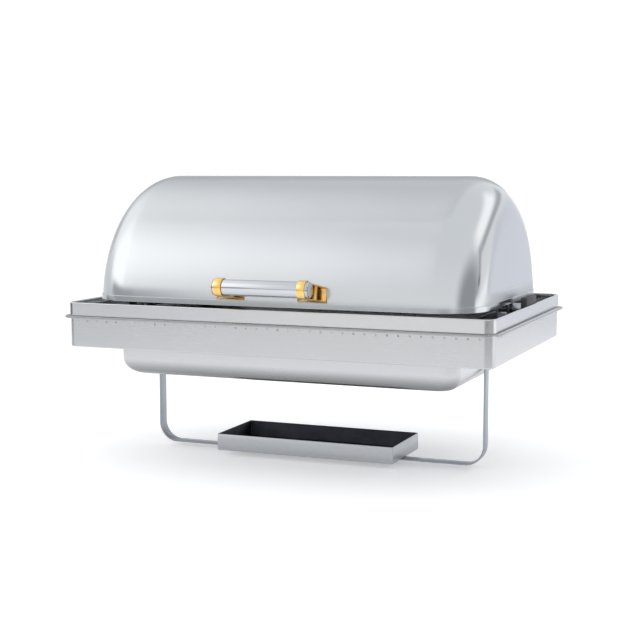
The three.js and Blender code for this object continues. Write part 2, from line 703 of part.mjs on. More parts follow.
SIDES.forEach(({ name, sign }) => {
  const bracket = add(`handle_bracket_${name}`, handleBracket(), BRASS, handle);
  bracket.position.x = sign * HANDLE.ringX;
  const plug = add(`handle_plug_${name}`, handlePlug(sign), POLISHED, handle);
  plug.position.set(0, HANDLE.rise, HANDLE.standOff);
  const washerTop = -SHEET - 2 * GAP;
  const washerLow = washerTop - WASHER.thickness;
  const ring = cut(roundBar(WASHER.radius, washerLow, washerTop, 20), holeCutter(M6, 0));
  add(`handle_washer_${name}`, ring, GREY_STEEL, handle).position.x = sign * HANDLE.ringX;
  const bolt = add(`handle_screw_${name}`, screw(M6).rotateX(Math.PI), GREY_STEEL, handle);
  bolt.position.set(sign * HANDLE.ringX, 0, washerLow - GAP);
  const boltNut = add(`handle_nut_${name}`, nut(M6), GREY_STEEL, handle);
  boltNut.position.set(sign * HANDLE.ringX, 0, FOOT.thickness + GAP);
});

export default unit;
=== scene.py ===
"""Fine shapes and looks of a drop-in roll-top chafing dish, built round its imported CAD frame.

Shapes are worked out in millimetres and scaled by MM. +Z is up, +X is to the right of the person serving,
who stands on the -Y side, and the origin is the unit's centre in the plane of the counter top.
"""

import json
import math
from collections import namedtuple

import bmesh
import bpy
from mathutils import Matrix, Vector

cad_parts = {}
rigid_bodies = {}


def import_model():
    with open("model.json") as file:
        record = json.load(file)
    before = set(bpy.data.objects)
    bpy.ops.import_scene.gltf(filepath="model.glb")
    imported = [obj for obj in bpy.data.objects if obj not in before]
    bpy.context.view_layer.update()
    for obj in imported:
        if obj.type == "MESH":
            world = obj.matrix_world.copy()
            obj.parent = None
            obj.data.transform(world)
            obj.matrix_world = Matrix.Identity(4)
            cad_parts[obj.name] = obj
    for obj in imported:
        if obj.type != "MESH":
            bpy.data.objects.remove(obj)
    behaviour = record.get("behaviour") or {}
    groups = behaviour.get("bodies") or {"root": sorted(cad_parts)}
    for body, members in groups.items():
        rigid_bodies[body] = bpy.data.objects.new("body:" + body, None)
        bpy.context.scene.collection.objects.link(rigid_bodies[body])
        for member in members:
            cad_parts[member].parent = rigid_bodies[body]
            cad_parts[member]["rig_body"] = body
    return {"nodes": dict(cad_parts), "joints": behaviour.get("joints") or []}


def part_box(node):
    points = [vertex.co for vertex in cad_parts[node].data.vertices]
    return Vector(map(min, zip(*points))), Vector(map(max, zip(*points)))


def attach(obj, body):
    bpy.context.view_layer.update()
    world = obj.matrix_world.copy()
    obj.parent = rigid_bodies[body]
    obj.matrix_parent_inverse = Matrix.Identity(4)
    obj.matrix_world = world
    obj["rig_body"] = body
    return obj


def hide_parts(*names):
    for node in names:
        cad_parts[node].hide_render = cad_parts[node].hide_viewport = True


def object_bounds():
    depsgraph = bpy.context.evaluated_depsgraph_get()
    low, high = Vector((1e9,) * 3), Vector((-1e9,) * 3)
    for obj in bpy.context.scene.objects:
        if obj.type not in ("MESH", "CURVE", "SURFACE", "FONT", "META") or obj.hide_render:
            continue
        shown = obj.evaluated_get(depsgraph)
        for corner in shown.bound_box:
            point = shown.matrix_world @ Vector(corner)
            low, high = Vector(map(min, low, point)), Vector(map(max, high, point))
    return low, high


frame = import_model()
cad_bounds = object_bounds()
MM = 0.001
QUARTER_TURN = math.pi / 2
SIDES = (("left", -1), ("right", 1))


def extent(node):
    """A CAD node's lowest and highest corners in millimetres, to the nearest micron."""
    return [tuple(round(value / MM, 3) for value in corner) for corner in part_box(node)]


# ---- dimensions ----------------------------------------------------------------------------------

JOINTS = {joint["name"]: joint for joint in frame["joints"]}

AXIS_Z = round(JOINTS["cover_roll"]["pos_m"][2] / MM, 3)  # height of the line along X that the cover turns on
COVER_LOW = extent("cover_shell")[0][2]
COVER_END, _, COVER_TOP = extent("cover_shell")[1]
COVER_R = COVER_TOP - AXIS_Z
COVER_ROUND = 62.0  # between barrel and cheek
SHEET = 1.2

FLANGE_REACH, FLANGE_EDGE, FLANGE_EDGE_WIDTH = 7.0, 3.0, 1.4
FLANGE_END, FLANGE_SIDE, RIM_TOP = extent("rim_frame")[1]
RIM_END, RIM_SIDE = FLANGE_END - FLANGE_REACH, FLANGE_SIDE - FLANGE_REACH
RIM_CORNER, RIM_BEAD_WIDTH, RIM_BEAD_DEPTH = 15, 2.7, 2.5

SKIRT_END, SKIRT_SIDE, SKIRT_TOP = extent("skirt")[1]
SKIRT_BOTTOM = extent("skirt")[0][2]
SKIRT_CORNER, SKIRT_RETURN = 13.5, 8.0
WELD_PITCH, WELD_HEIGHT = 15.5, -4.0

# Pairs are half sizes along X and Y. A pan's bottom, flange and top come from its node.
WATER_PAN = dict(wall=SHEET, flange_corner=22, top=(254.6, 156.5), knee=(253.8, 155.5), knee_z=-59, corner=20,
                 floor=(229, 130), floor_corner=14)
FOOD_PAN = dict(wall=1.0, flange_corner=30, top=(252, 149.5), knee=(245, 142.5), knee_z=-44, corner=28,
                floor=(234, 131.5), floor_corner=20)

STRAP_ARM_X, STRAP_BEND, STRAP_TAB_BEND, STRAP_HALF = 256.3, 28, 5, 1.25
TRAY_SHEET, TRAY_FOLD, TRAY_CORNER = 1.0, 1.2, 1.5

GRIP_ANGLE, GRIP_RISE, GRIP_STAND_OFF = 8.1, 5, 32  # foot's angle round the axis, then up and out from it
TUBE_END = extent("handle_tube")[1][0]
TUBE_R, TUBE_INNER_R = 11.0, 9.8
PLUG_START, PLUG_END = (corner[0] for corner in extent("handle_plug_right"))
PLUG_R, PLUG_EDGE = 9.5, 0.6


# ---- node tree helpers ---------------------------------------------------------------------------

class Graph:
    """Short hand for building a node tree; outputs, numbers and colours can all feed a socket."""

    def __init__(self, tree):
        self.tree = tree

    def new(self, kind, **settings):
        node = self.tree.nodes.new(kind)
        for key, value in settings.items():
            setattr(node, key, value)
        return node

    def link(self, source, target):
        self.tree.links.new(source, target)

    def feed(self, socket, value):
        """Sets a socket to a number or a colour, or links an output to it."""
        if isinstance(value, (int, float)):
            socket.default_value = value
        elif isinstance(value, tuple):
            socket.default_value = (*value, 1)
        else:
            self.link(value, socket)

    def math(self, operation, a, b=0):
        node = self.new("ShaderNodeMath", operation=operation)
        for socket, value in zip(node.inputs, (a, b)):
            self.feed(socket, value)
        return node.outputs["Value"]

    def mix(self, factor, a, b):
        node = self.new("ShaderNodeMix", data_type="RGBA")
        for index, value in ((0, factor), (6, a), (7, b)):
            self.feed(node.inputs[index], value)
        return node.outputs[2]

    def spread(self, source, low, high, out_low=0, out_high=1, **settings):
        node = self.new("ShaderNodeMapRange", **settings)
        ends = {"From Min": low, "From Max": high, "To Min": out_low, "To Max": out_high}
        self.feed(node.inputs["Value"], source)
        for key, value in ends.items():
            self.feed(node.inputs[key], value)
        return node.outputs["Result"]

    def split(self, vector):
        node = self.new("ShaderNodeSeparateXYZ")
        self.link(vector, node.inputs["Vector"])
        return [node.outputs[axis] for axis in "XYZ"]


class Look(Graph):
    """The node tree of one material, round its Principled shader."""

    def __init__(self, name):
        self.material = bpy.data.materials.new(name)
        self.material.use_nodes = True
        super().__init__(self.material.node_tree)
        self.shader = self.tree.nodes["Principled BSDF"]
        texture = self.new("ShaderNodeTexCoord")
        self.coords, self.facing = texture.outputs["Object"], texture.outputs["Normal"]

    def noise(self, scale, stretch=(1, 1, 1), detail=4, rough=0.5):
        mapping = self.new("ShaderNodeMapping")
        mapping.inputs["Scale"].default_value = stretch
        self.link(self.coords, mapping.inputs["Vector"])
        noise = self.new("ShaderNodeTexNoise")
        for key, value in (("Scale", scale), ("Detail", detail), ("Roughness", rough)):
            noise.inputs[key].default_value = value
        self.link(mapping.outputs["Vector"], noise.inputs["Vector"])
        return noise.outputs["Fac"]

    def bump(self, height, strength, distance, under=None):
        node = self.new("ShaderNodeBump")
        node.inputs["Strength"].default_value = strength
        node.inputs["Distance"].default_value = distance
        self.link(height, node.inputs["Height"])
        if under is not None:
            self.link(under, node.inputs["Normal"])
        return node.outputs["Normal"]

    def pointiness(self):
        return self.new("ShaderNodeNewGeometry").outputs["Pointiness"]

    def edges(self, low=0.52, high=0.62):
        return self.spread(self.pointiness(), low, high)

    def set(self, **values):
        for key, value in values.items():
            self.feed(self.shader.inputs[key.replace("_", " ")], value)
        return self.material

    def source(self, key):
        """What is linked to one of the shader's sockets."""
        return self.shader.inputs[key].links[0].from_socket


def shade(colour, factor):
    return tuple(min(1, channel * factor) for channel in colour)


# ---- materials -----------------------------------------------------------------------------------

def steel_into(n, colour, rough, grain=(1, 40, 40), streak=0.10, wave=0.0, smudge=0.05, tint=0.05, heat=0.0):
    """Stainless sheet: brushed grain, cloudy wiping marks, rubbed edges and fine specks.

    The grain runs along the axis with its smallest number. Streak and tint vary the colour, streak and
    smudge the roughness, wave ripples the sheet, and faces that point down are darkened as painted shade.
    """
    fine, coarse = n.noise(160, grain, 3, 0.6), n.noise(28, grain, 3, 0.55)
    lines = n.math("ADD", n.math("MULTIPLY", fine, 0.6), n.math("MULTIPLY", coarse, 0.4))
    cloudy = n.spread(n.noise(7, (1, 1, 1.6), 3), 0.35, 0.65)
    low = n.mix(cloudy, shade(colour, 1 - tint), colour)
    base = n.mix(n.spread(lines, 0.38, 0.62, 0, streak * 2), low, shade(colour, 1.12))
    base = n.mix(n.math("MULTIPLY", n.edges(), 0.35), base, shade(colour, 1.25))
    # Painted shade: faces that point down are darkened.
    if heat:
        below = n.spread(n.split(n.facing)[2], -0.75, -0.05, heat, 0)
        base = n.mix(below, base, shade(colour, 0.45))
    brushed = n.spread(lines, 0.35, 0.65, rough * (1 - 2 * streak), rough * (1 + 2 * streak))
    roughness = n.math("ADD", brushed, n.math("MULTIPLY", cloudy, smudge))
    specks = n.noise(900, (1, 1, 1), 1)
    normal = n.bump(n.math("ADD", lines, n.math("MULTIPLY", specks, 0.15)), 0.12, 0.00006)
    if wave:
        normal = n.bump(n.noise(6, (0.7, 1, 1), 2), wave, 0.003, normal)
    return n.set(Metallic=1.0, Base_Color=base, Roughness=roughness, Normal=normal)


def steel(name, colour, rough, **finish):
    return steel_into(Look(name), colour, rough, **finish)


def cover_steel(name, colour):
    """The cover: polished, with a scuffed band low on its cheeks where it runs past the pivot blocks."""
    scuff_full, scuff_end, scuff_wander, scuff_rough = 0.045, 0.060, 0.012, 0.46
    n = Look(name)
    steel_into(n, colour, 0.10, grain=(1, 34, 34), streak=0.07, wave=0.06, smudge=0.03, tint=0.03)
    cheek = n.spread(n.math("ABSOLUTE", n.split(n.facing)[0]), 0.90, 0.99)
    height = n.math("ADD", n.split(n.coords)[2], n.math("MULTIPLY", n.noise(9, (1, 1, 1), 2), scuff_wander))
    scuffed = n.math("MULTIPLY", cheek, n.spread(height, scuff_full, scuff_end, 1, 0))
    return n.set(Roughness=n.spread(scuffed, 0, 1, n.source("Roughness"), scuff_rough))


def rim_steel(name, colour):
    """The rim: brushed outside, pickled inner faces on its two end walls, a counter flange whose edge is
    darkened as painted shade.
    """
    pickled, pickled_metal, pickled_rough = (0.88, 0.89, 0.90), 0.15, 0.55
    n = Look(name)
    steel_into(n, colour, 0.16, grain=(1, 40, 120), streak=0.20, wave=0.12)
    x, y, _ = n.split(n.coords)
    # A face's X direction times its place is about -0.31 on the inner face of an end wall.
    inward = n.spread(n.math("MULTIPLY", n.split(n.facing)[0], x), -0.12, -0.2)
    # Painted shade: the counter flange's edge, outside the rim's face, is darkened.
    clearance = 0.3 * MM
    past_end = n.math("SUBTRACT", n.math("ABSOLUTE", x), RIM_END * MM + clearance)
    past_side = n.math("SUBTRACT", n.math("ABSOLUTE", y), RIM_SIDE * MM + clearance)
    flange = n.spread(n.math("MAXIMUM", past_end, past_side), 0.001, 0.003, 0, 0.85)
    base = n.mix(flange, n.source("Base Color"), shade(colour, 0.55))
    return n.set(Metallic=n.spread(inward, 0, 1, 1, pickled_metal), Base_Color=n.mix(inward, base, pickled),
                 Roughness=n.spread(inward, 0, 1, n.source("Roughness"), pickled_rough))


def soot_steel(name, colour, rough):
    """Plain tray steel: clean outside; inside coloured near black in random blotches as painted shade."""
    n = Look(name)
    lo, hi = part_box("fuel_tray")
    middle, half = (lo + hi) / 2, (hi - lo) / 2
    within_wall, above_floor = 0.8 * MM, 0.6 * MM
    x, y, z = n.split(n.coords)
    across = n.math("ABSOLUTE", n.math("SUBTRACT", x, middle.x))
    deep = n.math("ABSOLUTE", n.math("SUBTRACT", y, middle.y))
    inside_x = n.math("LESS_THAN", across, half.x - within_wall)
    inside_y = n.math("LESS_THAN", deep, half.y - within_wall)
    above = n.math("GREATER_THAN", z, lo.z + above_floor)
    inside = n.math("MULTIPLY", n.math("MULTIPLY", inside_x, inside_y), above)
    stains = n.spread(n.noise(24, (1, 1, 1), 5, 0.6), 0.35, 0.7)
    grain = n.noise(150, (1, 30, 30), 3, 0.6)
    outside = n.mix(n.spread(grain, 0.35, 0.65), shade(colour, 0.92), shade(colour, 1.08))
    # Painted shade: the tray's inside is coloured near black, blotchy at random.
    soot = n.mix(stains, (0.035, 0.038, 0.05), (0.085, 0.085, 0.10))
    base = n.mix(n.math("MULTIPLY", n.edges(), 0.5), n.mix(inside, outside, soot), shade(colour, 1.5))
    roughness = n.math("ADD", n.spread(stains, 0, 1, rough, rough + 0.1), n.math("MULTIPLY", inside, 0.22))
    return n.set(Metallic=1.0, Base_Color=base, Roughness=roughness, Normal=n.bump(grain, 0.15, 0.00005))


def weld_steel(name):
    """Spot welds: some burnt dark, most almost the colour of the sheet."""
    n = Look(name)
    burnt = n.spread(n.noise(31, (1, 0.6, 0), 2, 0.6), 0.44, 0.62, 0.05, 0.8)
    base = n.mix(burnt, (0.56, 0.565, 0.58), (0.30, 0.31, 0.33))
    return n.set(Metallic=1.0, Base_Color=base, Roughness=n.spread(burnt, 0, 1, 0.28, 0.4))


def brass(name):
    """Polished brass, darkened to brown in its hollows and creases as painted shade, and worn bright on its
    edges.
    """
    n = Look(name)
    clouds = n.spread(n.noise(60, (1, 1, 1), 4), 0.35, 0.68)
    fine = n.noise(500, (1, 6, 6), 2)
    # Painted shade: hollows found by ambient occlusion, and creases found by pointiness, turn dark brown.
    depth = n.new("ShaderNodeAmbientOcclusion", samples=8)
    depth.inputs["Distance"].default_value = 9 * MM
    crease = n.spread(n.pointiness(), 0.42, 0.5, 0.7, 0)
    hollow = n.math("MAXIMUM", crease, n.spread(depth.outputs["AO"], 0.25, 0.75, 0.92, 0))
    base = n.mix(clouds, (0.86, 0.50, 0.13), (0.93, 0.60, 0.19))
    base = n.mix(hollow, base, (0.20, 0.085, 0.02))
    base = n.mix(n.math("MULTIPLY", n.edges(), 0.6), base, (1.0, 0.78, 0.38))
    roughness = n.spread(fine, 0.3, 0.7, 0.17, 0.30)
    return n.set(Metallic=1.0, Base_Color=base, Roughness=roughness, Normal=n.bump(fine, 0.1, 0.00004))


def coated(name, colour, rough, grain_scale, worn, amount=0.35, gloss=0.5):
    """Near-black deck coat that stands for painted shade, rubber or moulded plastic: fine skin texture, dusty
    patches and rubbed edges.
    """
    n = Look(name)
    skin = n.noise(grain_scale, (1, 1, 1), 3, 0.6)
    dust = n.spread(n.noise(18, (1, 1, 1), 4), 0.42, 0.72, 0, 0.5)
    dusty = tuple(channel * 1.25 + 0.006 for channel in colour)
    base = n.mix(n.math("MULTIPLY", n.edges(0.53, 0.66), amount), n.mix(dust, colour, dusty), worn)
    roughness = n.spread(skin, 0.3, 0.7, rough - 0.08, rough + 0.08)
    return n.set(Metallic=0.0, Base_Color=base, Roughness=roughness, Specular_IOR_Level=gloss,
                 Normal=n.bump(skin, 0.25, 0.0001))


looks = {
    "cover": cover_steel("cover_steel", (0.60, 0.615, 0.63)),
    "hem": steel("hem_steel", (0.58, 0.595, 0.61), 0.13, grain=(1, 60, 120), streak=0.16, wave=0.12),
    "rim": rim_steel("rim_steel", (0.61, 0.615, 0.625)),
    "skirt": steel("skirt_steel", (0.565, 0.57, 0.58), 0.21, grain=(1, 30, 60), streak=0.12, wave=0.12,
                   smudge=0.06),
    # The water pan's down-facing faces are darkened as painted shade.
    "pan": steel("water_pan_steel", (0.575, 0.58, 0.59), 0.22, grain=(1, 26, 40), wave=0.10, smudge=0.06,
                 heat=0.85),
    "food": steel("food_pan_steel", (0.64, 0.645, 0.655), 0.2, grain=(1, 20, 20), streak=0.08, wave=0.06,
                  smudge=0.09, tint=0.08),
    "plate": steel("plate_steel", (0.50, 0.52, 0.55), 0.32, grain=(1, 25, 25), streak=0.14, smudge=0.08,
                   tint=0.1),
    "strap": steel("strap_steel", (0.33, 0.355, 0.39), 0.30, grain=(20, 60, 1), streak=0.14, smudge=0.08,
                   tint=0.1),
    "fastener": steel("fastener_steel", (0.58, 0.58, 0.60), 0.22, grain=(14, 14, 14), streak=0.12,
                      smudge=0.08, tint=0.1),
    "tube": steel("tube_steel", (0.58, 0.595, 0.62), 0.06, grain=(1, 50, 50), streak=0.12, smudge=0.03,
                  tint=0.03),
    "tray": soot_steel("tray_steel_shaded_inside", (0.42, 0.43, 0.455), 0.32),
    "weld": weld_steel("spot_weld_steel"),
    "brass": brass("polished_brass"),
    # The well deck's near-black coat is painted shade for the dark well.
    "deck_shade": coated("black_coat_painted_shade", (0.003, 0.003, 0.005), 0.72, 300, (0.03, 0.03, 0.035), 0.2, 0.04),
    "rubber": coated("black_rubber_skin", (0.018, 0.018, 0.020), 0.62, 700, (0.06, 0.06, 0.06)),
    "block": coated("grey_moulded_block", (0.035, 0.035, 0.040), 0.55, 520, (0.16, 0.16, 0.17)),
    "nylon": coated("black_nylon", (0.030, 0.030, 0.033), 0.42, 380, (0.12, 0.12, 0.12)),
}


# ---- mesh helpers --------------------------------------------------------------------------------

def make(name, vertices, faces, look, nodes, body, slot, angle):
    """One closed piece, given in millimetres, that stands for some CAD nodes and rides on a body."""
    mesh = bpy.data.meshes.new(name)
    mesh.from_pydata([Vector(v) * MM for v in vertices], [], faces)
    return dress(name, mesh, look, nodes, body, angle)


def dress(name, mesh, look, nodes, body, angle, bevel=0.0):
    """Cleans a mesh, eases its edges by a bevel, shades it smooth up to an angle and puts it in place."""
    flat_angle, sharp_angle = math.radians(1), math.radians(32)
    bm = bmesh.new()
    bm.from_mesh(mesh)
    bmesh.ops.remove_doubles(bm, verts=bm.verts, dist=1e-6)
    bmesh.ops.dissolve_degenerate(bm, edges=bm.edges, dist=1e-7)
    bmesh.ops.recalc_face_normals(bm, faces=bm.faces)
    if bevel:
        bmesh.ops.dissolve_limit(bm, angle_limit=flat_angle, verts=bm.verts, edges=bm.edges)
        sharp = [e for e in bm.edges if len(e.link_faces) == 2 and e.calc_face_angle(0) > sharp_angle]
        bmesh.ops.bevel(bm, geom=sharp, offset=bevel * MM, segments=2, profile=0.5,
                        affect="EDGES", clamp_overlap=True)
        bmesh.ops.remove_doubles(bm, verts=bm.verts, dist=1e-7)
    bm.to_mesh(mesh)
    bm.free()
    mesh.polygons.foreach_set("use_smooth", [True] * len(mesh.polygons))
    mesh.set_sharp_from_angle(angle=math.radians(angle))
    mesh.materials.clear()
    mesh.materials.append(look)
    piece = bpy.data.objects.new(name, mesh)
    bpy.context.scene.collection.objects.link(piece)
    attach(piece, body)
    if nodes:
        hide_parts(*nodes)
    return piece


def refine(node, look, bevel):
    """A CAD node's own shape, with its sharp edges eased."""
    source = frame["nodes"][node]
    mesh = source.data.copy()
    mesh.name = f"{node}_fine"
    return dress(f"{node}_fine", mesh, look, [node], source["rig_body"], 38, bevel)


def arc(steps):
    """Angles from none to a quarter turn, in even steps."""
    return [i / steps * QUARTER_TURN for i in range(steps + 1)]


def rounded_ring(half_x, half_y, corner, z, steps=16):
    """A level rectangle with round corners."""
    points = []
    for quarter, (sx, sy) in enumerate(((1, 1), (-1, 1), (-1, -1), (1, -1))):
        for i in range(steps + 1):
            turn = (quarter + i / steps) * QUARTER_TURN
            points.append((sx * (half_x - corner) + corner * math.cos(turn),
                           sy * (half_y - corner) + corner * math.sin(turn), z))
    return points


def loft(rings, closed):
    """Vertices and faces of a skin through rings; open lofts have their ends filled."""
    count = len(rings[0])
    vertices = [p for ring in rings for p in ring]
    faces = []
    for r in range(len(rings) if closed else len(rings) - 1):
        here, there = r * count, (r + 1) % len(rings) * count
        for i in range(count):
            j = (i + 1) % count
            faces.append((here + i, here + j, there + j, there + i))
    if not closed:
        faces.append(tuple(range(count)))
        faces.append(tuple((len(rings) - 1) * count + i for i in range(count)))
    return vertices, faces


def eased(points, steps=4):
    """A closed outline of (u, v, radius) corners, with an arc in place of each corner."""
    outline = []
    longest_share = 0.49  # of an edge, for the arc at either of its ends
    for i, (u, v, radius) in enumerate(points):
        here = Vector((u, v))
        before = Vector(points[i - 1][:2]) - here
        after = Vector(points[(i + 1) % len(points)][:2]) - here
        half = before.angle(after) / 2
        reach = min(radius / math.tan(half), before.length * longest_share, after.length * longest_share)
        radius = reach * math.tan(half)
        start = here + before.normalized() * reach
        end = here + after.normalized() * reach
        centre = here + (before.normalized() + after.normalized()).normalized() * (radius / math.sin(half))
        first = start - centre
        sweep = first.angle_signed(end - centre)
        for k in range(steps + 1):
            spoke = first.copy()
            spoke.rotate(Matrix.Rotation(-sweep * k / steps, 2))
            outline.append(tuple(centre + spoke))
    return outline


def held(section, pad=0.35, longest=4.0):
    """Adds points close to the ends of every long straight run, so that flat sheet shades flat."""
    points = []
    for i, (x, y) in enumerate(section):
        points.append((x, y))
        nx, ny = section[(i + 1) % len(section)]
        run = math.hypot(nx - x, ny - y)
        if run > longest:
            points += [(x + (nx - x) * t, y + (ny - y) * t) for t in (pad / run, 0.5, 1 - pad / run)]
    return points


def turned(profile, steps):
    """Rings of a solid of revolution about X, through (distance along X, radius) points."""
    turns = [2 * math.pi * i / steps for i in range(steps)]
    return [[(along, radius * math.cos(t), radius * math.sin(t)) for t in turns] for along, radius in profile]


# ---- cover ---------------------------------------------------------------------------------------

def cover_profile(inset, cheek_steps=8, round_steps=20, barrel_steps=14):
    """Right half of the barrel's profile as (x, radius), from the cheek's middle to the barrel's."""
    end, round_r = COVER_END - inset, COVER_ROUND - inset
    flat, base = COVER_END - COVER_ROUND, COVER_R - COVER_ROUND
    low = COVER_LOW - AXIS_Z
    points = [(end, low + (base - low) * i / cheek_steps) for i in range(cheek_steps)]
    points += [(flat + round_r * math.cos(t), base + round_r * math.sin(t)) for t in arc(round_steps)]
    points += [(flat * (1 - i / barrel_steps), COVER_R - inset) for i in range(1, barrel_steps + 1)]
    return points


def cover_grid(inset, steps=72):
    """The cover's skin as rows of points from the right cheek to the left, each from front to rear."""
    right = cover_profile(inset)
    rows = []
    for x, r in right + [(-x, r) for x, r in reversed(right[:-1])]:
        start = math.asin(min(1, (COVER_LOW - AXIS_Z) / r))
        turns = [start + (math.pi - 2 * start) * i / steps for i in range(steps + 1)]
        rows.append([(x, -r * math.cos(t), AXIS_Z + r * math.sin(t)) for t in turns])
    return rows


def cover_shell():
    """Pressed shell: an outer and an inner skin, closed along the lower edge."""
    outer, inner = cover_grid(0), cover_grid(SHEET)
    rows, columns = len(outer), len(outer[0])
    vertices = [p for row in outer + inner for p in row]

    def at(side, r, c):
        return (side * rows + r) * columns + c

    faces = []
    for r in range(rows - 1):
        for c in range(columns - 1):
            faces.append((at(0, r, c), at(0, r, c + 1), at(0, r + 1, c + 1), at(0, r + 1, c)))
            faces.append((at(1, r, c), at(1, r + 1, c), at(1, r + 1, c + 1), at(1, r, c + 1)))
        for c in (0, columns - 1):
            faces.append((at(0, r, c), at(0, r + 1, c), at(1, r + 1, c), at(1, r, c)))
    make("roll_top_shell", vertices, faces, looks["cover"], ["cover_shell"], "cover", "bright_steel", 50)


def cover_outline(offset, z):
    """Plan of the cover's outer face at a height, moved outwards."""
    right = [p for p in cover_profile(-offset, 1, 20, 10) if p[1] > abs(z - AXIS_Z)]
    quarter = [(x, math.sqrt(r * r - (z - AXIS_Z) ** 2)) for x, r in right]
    front_right = [(x, -y) for x, y in quarter]
    front_left = [(-x, -y) for x, y in reversed(quarter)]
    rear_left = [(-x, y) for x, y in quarter]
    rear_right = [(x, y) for x, y in reversed(quarter)]
    return [(x, y, z) for x, y in front_right + front_left + rear_left + rear_right]


def cover_hem():
    """Strip folded round the cover's lower edge, swept from (distance out from the shell, height) points."""
    low, high = (corner[2] for corner in extent("cover_hem"))
    inner, outer = 0.35, 1.2
    section = eased([(inner, low, 0.2), (outer, low, 0.4), (outer, high, 0.75), (inner, high, 0.05)], 5)
    rings = [cover_outline(d, z) for d, z in held(section)]
    make("roll_top_hem", *loft(rings, True), looks["hem"], ["cover_hem"], "cover", "bright_steel", 50)


# ---- housing -------------------------------------------------------------------------------------

def frame_piece(name, section, half_x, half_y, corner, look, node):
    """Sheet bent round the frame, swept from (distance out from the face, height) points."""
    rings = [rounded_ring(half_x + d, half_y + d, max(0.2, corner + d), z) for d, z in held(section)]
    make(name, *loft(rings, True), look, [node], "housing", "satin_steel", 50)


def rim():
    """Upper rim: counter flange with an upturned edge, upright face and a bead rolled in at the top."""
    edge_inner, bead_low = FLANGE_REACH - FLANGE_EDGE_WIDTH, RIM_TOP - RIM_BEAD_DEPTH
    section = eased([
        (-SHEET, 0.0, 0.2), (FLANGE_REACH, 0.0, 0.9), (FLANGE_REACH, FLANGE_EDGE, 0.7),
        (edge_inner, FLANGE_EDGE, 0.3), (edge_inner, SHEET, 0.4), (0.0, SHEET, 1.2),
        (0.0, RIM_TOP, 1.0), (-RIM_BEAD_WIDTH, RIM_TOP, 1.0), (-RIM_BEAD_WIDTH, bead_low, 0.3),
        (-SHEET, bead_low, 0.2),
    ])
    frame_piece("rim_and_flange", section, RIM_END, RIM_SIDE, RIM_CORNER, looks["rim"], "rim_frame")


def skirt():
    """Lower skirt with its bottom edge turned in."""
    inner, floor_top = -SHEET - SKIRT_RETURN, SKIRT_BOTTOM + SHEET
    section = eased([
        (0.0, SKIRT_BOTTOM, 1.3), (0.0, SKIRT_TOP, 0.2), (-SHEET, SKIRT_TOP, 0.2),
        (-SHEET, floor_top, 0.3), (inner, floor_top, 0.3), (inner, SKIRT_BOTTOM, 0.3),
    ])
    frame_piece("skirt_sheet", section, SKIRT_END, SKIRT_SIDE, SKIRT_CORNER, looks["skirt"], "skirt")


def weld_mark(centre, out, radius=1.3, steps=12):
    """A spot weld's shallow crater: a low ring with a sunk middle."""
    up = Vector((0, 0, 1))
    along = out.cross(up)
    turns = [2 * math.pi * i / steps for i in range(steps)]
    rings = []
    for share, lift in ((1.25, -0.2), (1.25, 0.02), (0.95, 0.22), (0.7, 0.2), (0.4, 0.04), (0.15, 0.02)):
        r = radius * share
        rings.append([tuple(centre + out * lift + along * (r * math.cos(t)) + up * (r * math.sin(t)))
                      for t in turns])
    return loft(rings, False)


def weld_marks():
    """Rows of spot welds on all four faces of the skirt, just under the flange."""
    marks = []
    last_x, last_y = (int((half - SKIRT_CORNER) / WELD_PITCH) for half in (SKIRT_END, SKIRT_SIDE))
    for i in range(-last_x, last_x + 1):
        marks += [((i * WELD_PITCH, way * SKIRT_SIDE), (0, way)) for way in (-1, 1)]
    for i in range(-last_y, last_y + 1):
        marks += [((way * SKIRT_END, i * WELD_PITCH), (way, 0)) for way in (-1, 1)]
    vertices, faces = [], []
    for centre, out in marks:
        more_vertices, more_faces = weld_mark(Vector((*centre, WELD_HEIGHT)), Vector((*out, 0)))
        faces += [tuple(len(vertices) + k for k in face) for face in more_faces]
        vertices += more_vertices
    make("spot_welds", vertices, faces, looks["weld"], [], "housing", "satin_steel", 60)


def between(ends, part):
    """The value at a part of the way from the first end to the second."""
    return ends[0] + (ends[1] - ends[0]) * part


def pan_piece(name, pan, look, node, body, slot):
    """A drawn pan: floor, rounded knee, tapered wall, rounded lip and flange with an eased edge."""
    knee_steps, wall_steps, outer_lip, inner_lip = 12, 4, 1.5, 2.4
    bottom, (*flange, top) = extent(node)[0][2], extent(node)[1]
    under, edge = top - pan["wall"], 0.35

    def skin(shrink, lip, lip_steps, level):
        """Rings from the floor up to a level of the flange, moved inwards by shrink."""
        rings = []
        for turn in arc(knee_steps):
            half = [between(ends, math.sin(turn)) - shrink for ends in zip(pan["floor"], pan["knee"])]
            corner = between((pan["floor_corner"], pan["corner"]), math.sin(turn))
            z = bottom + (pan["knee_z"] - bottom - shrink) * (1 - math.cos(turn)) + shrink
            rings.append(rounded_ring(*half, corner, z))
        for part in (i / wall_steps for i in range(1, wall_steps)):
            half = [between(ends, part) - shrink for ends in zip(pan["knee"], pan["top"])]
            rings.append(rounded_ring(*half, pan["corner"], between((pan["knee_z"], level - lip), part)))
        for turn in arc(lip_steps):
            half = [size + lip * (1 - math.cos(turn)) - shrink for size in pan["top"]]
            rings.append(rounded_ring(*half, pan["corner"], level - lip + lip * math.sin(turn)))
        return rings

    outside = skin(0, outer_lip, 4, under)
    for inset, z in ((edge, under), (0, under + edge), (0, top - edge), (edge, top)):
        outside.append(rounded_ring(flange[0] - inset, flange[1] - inset, pan["flange_corner"], z))
    inside = skin(pan["wall"], inner_lip, 5, top)
    make(name, *loft(outside + inside[::-1], False), look, [node], body, slot, 45)


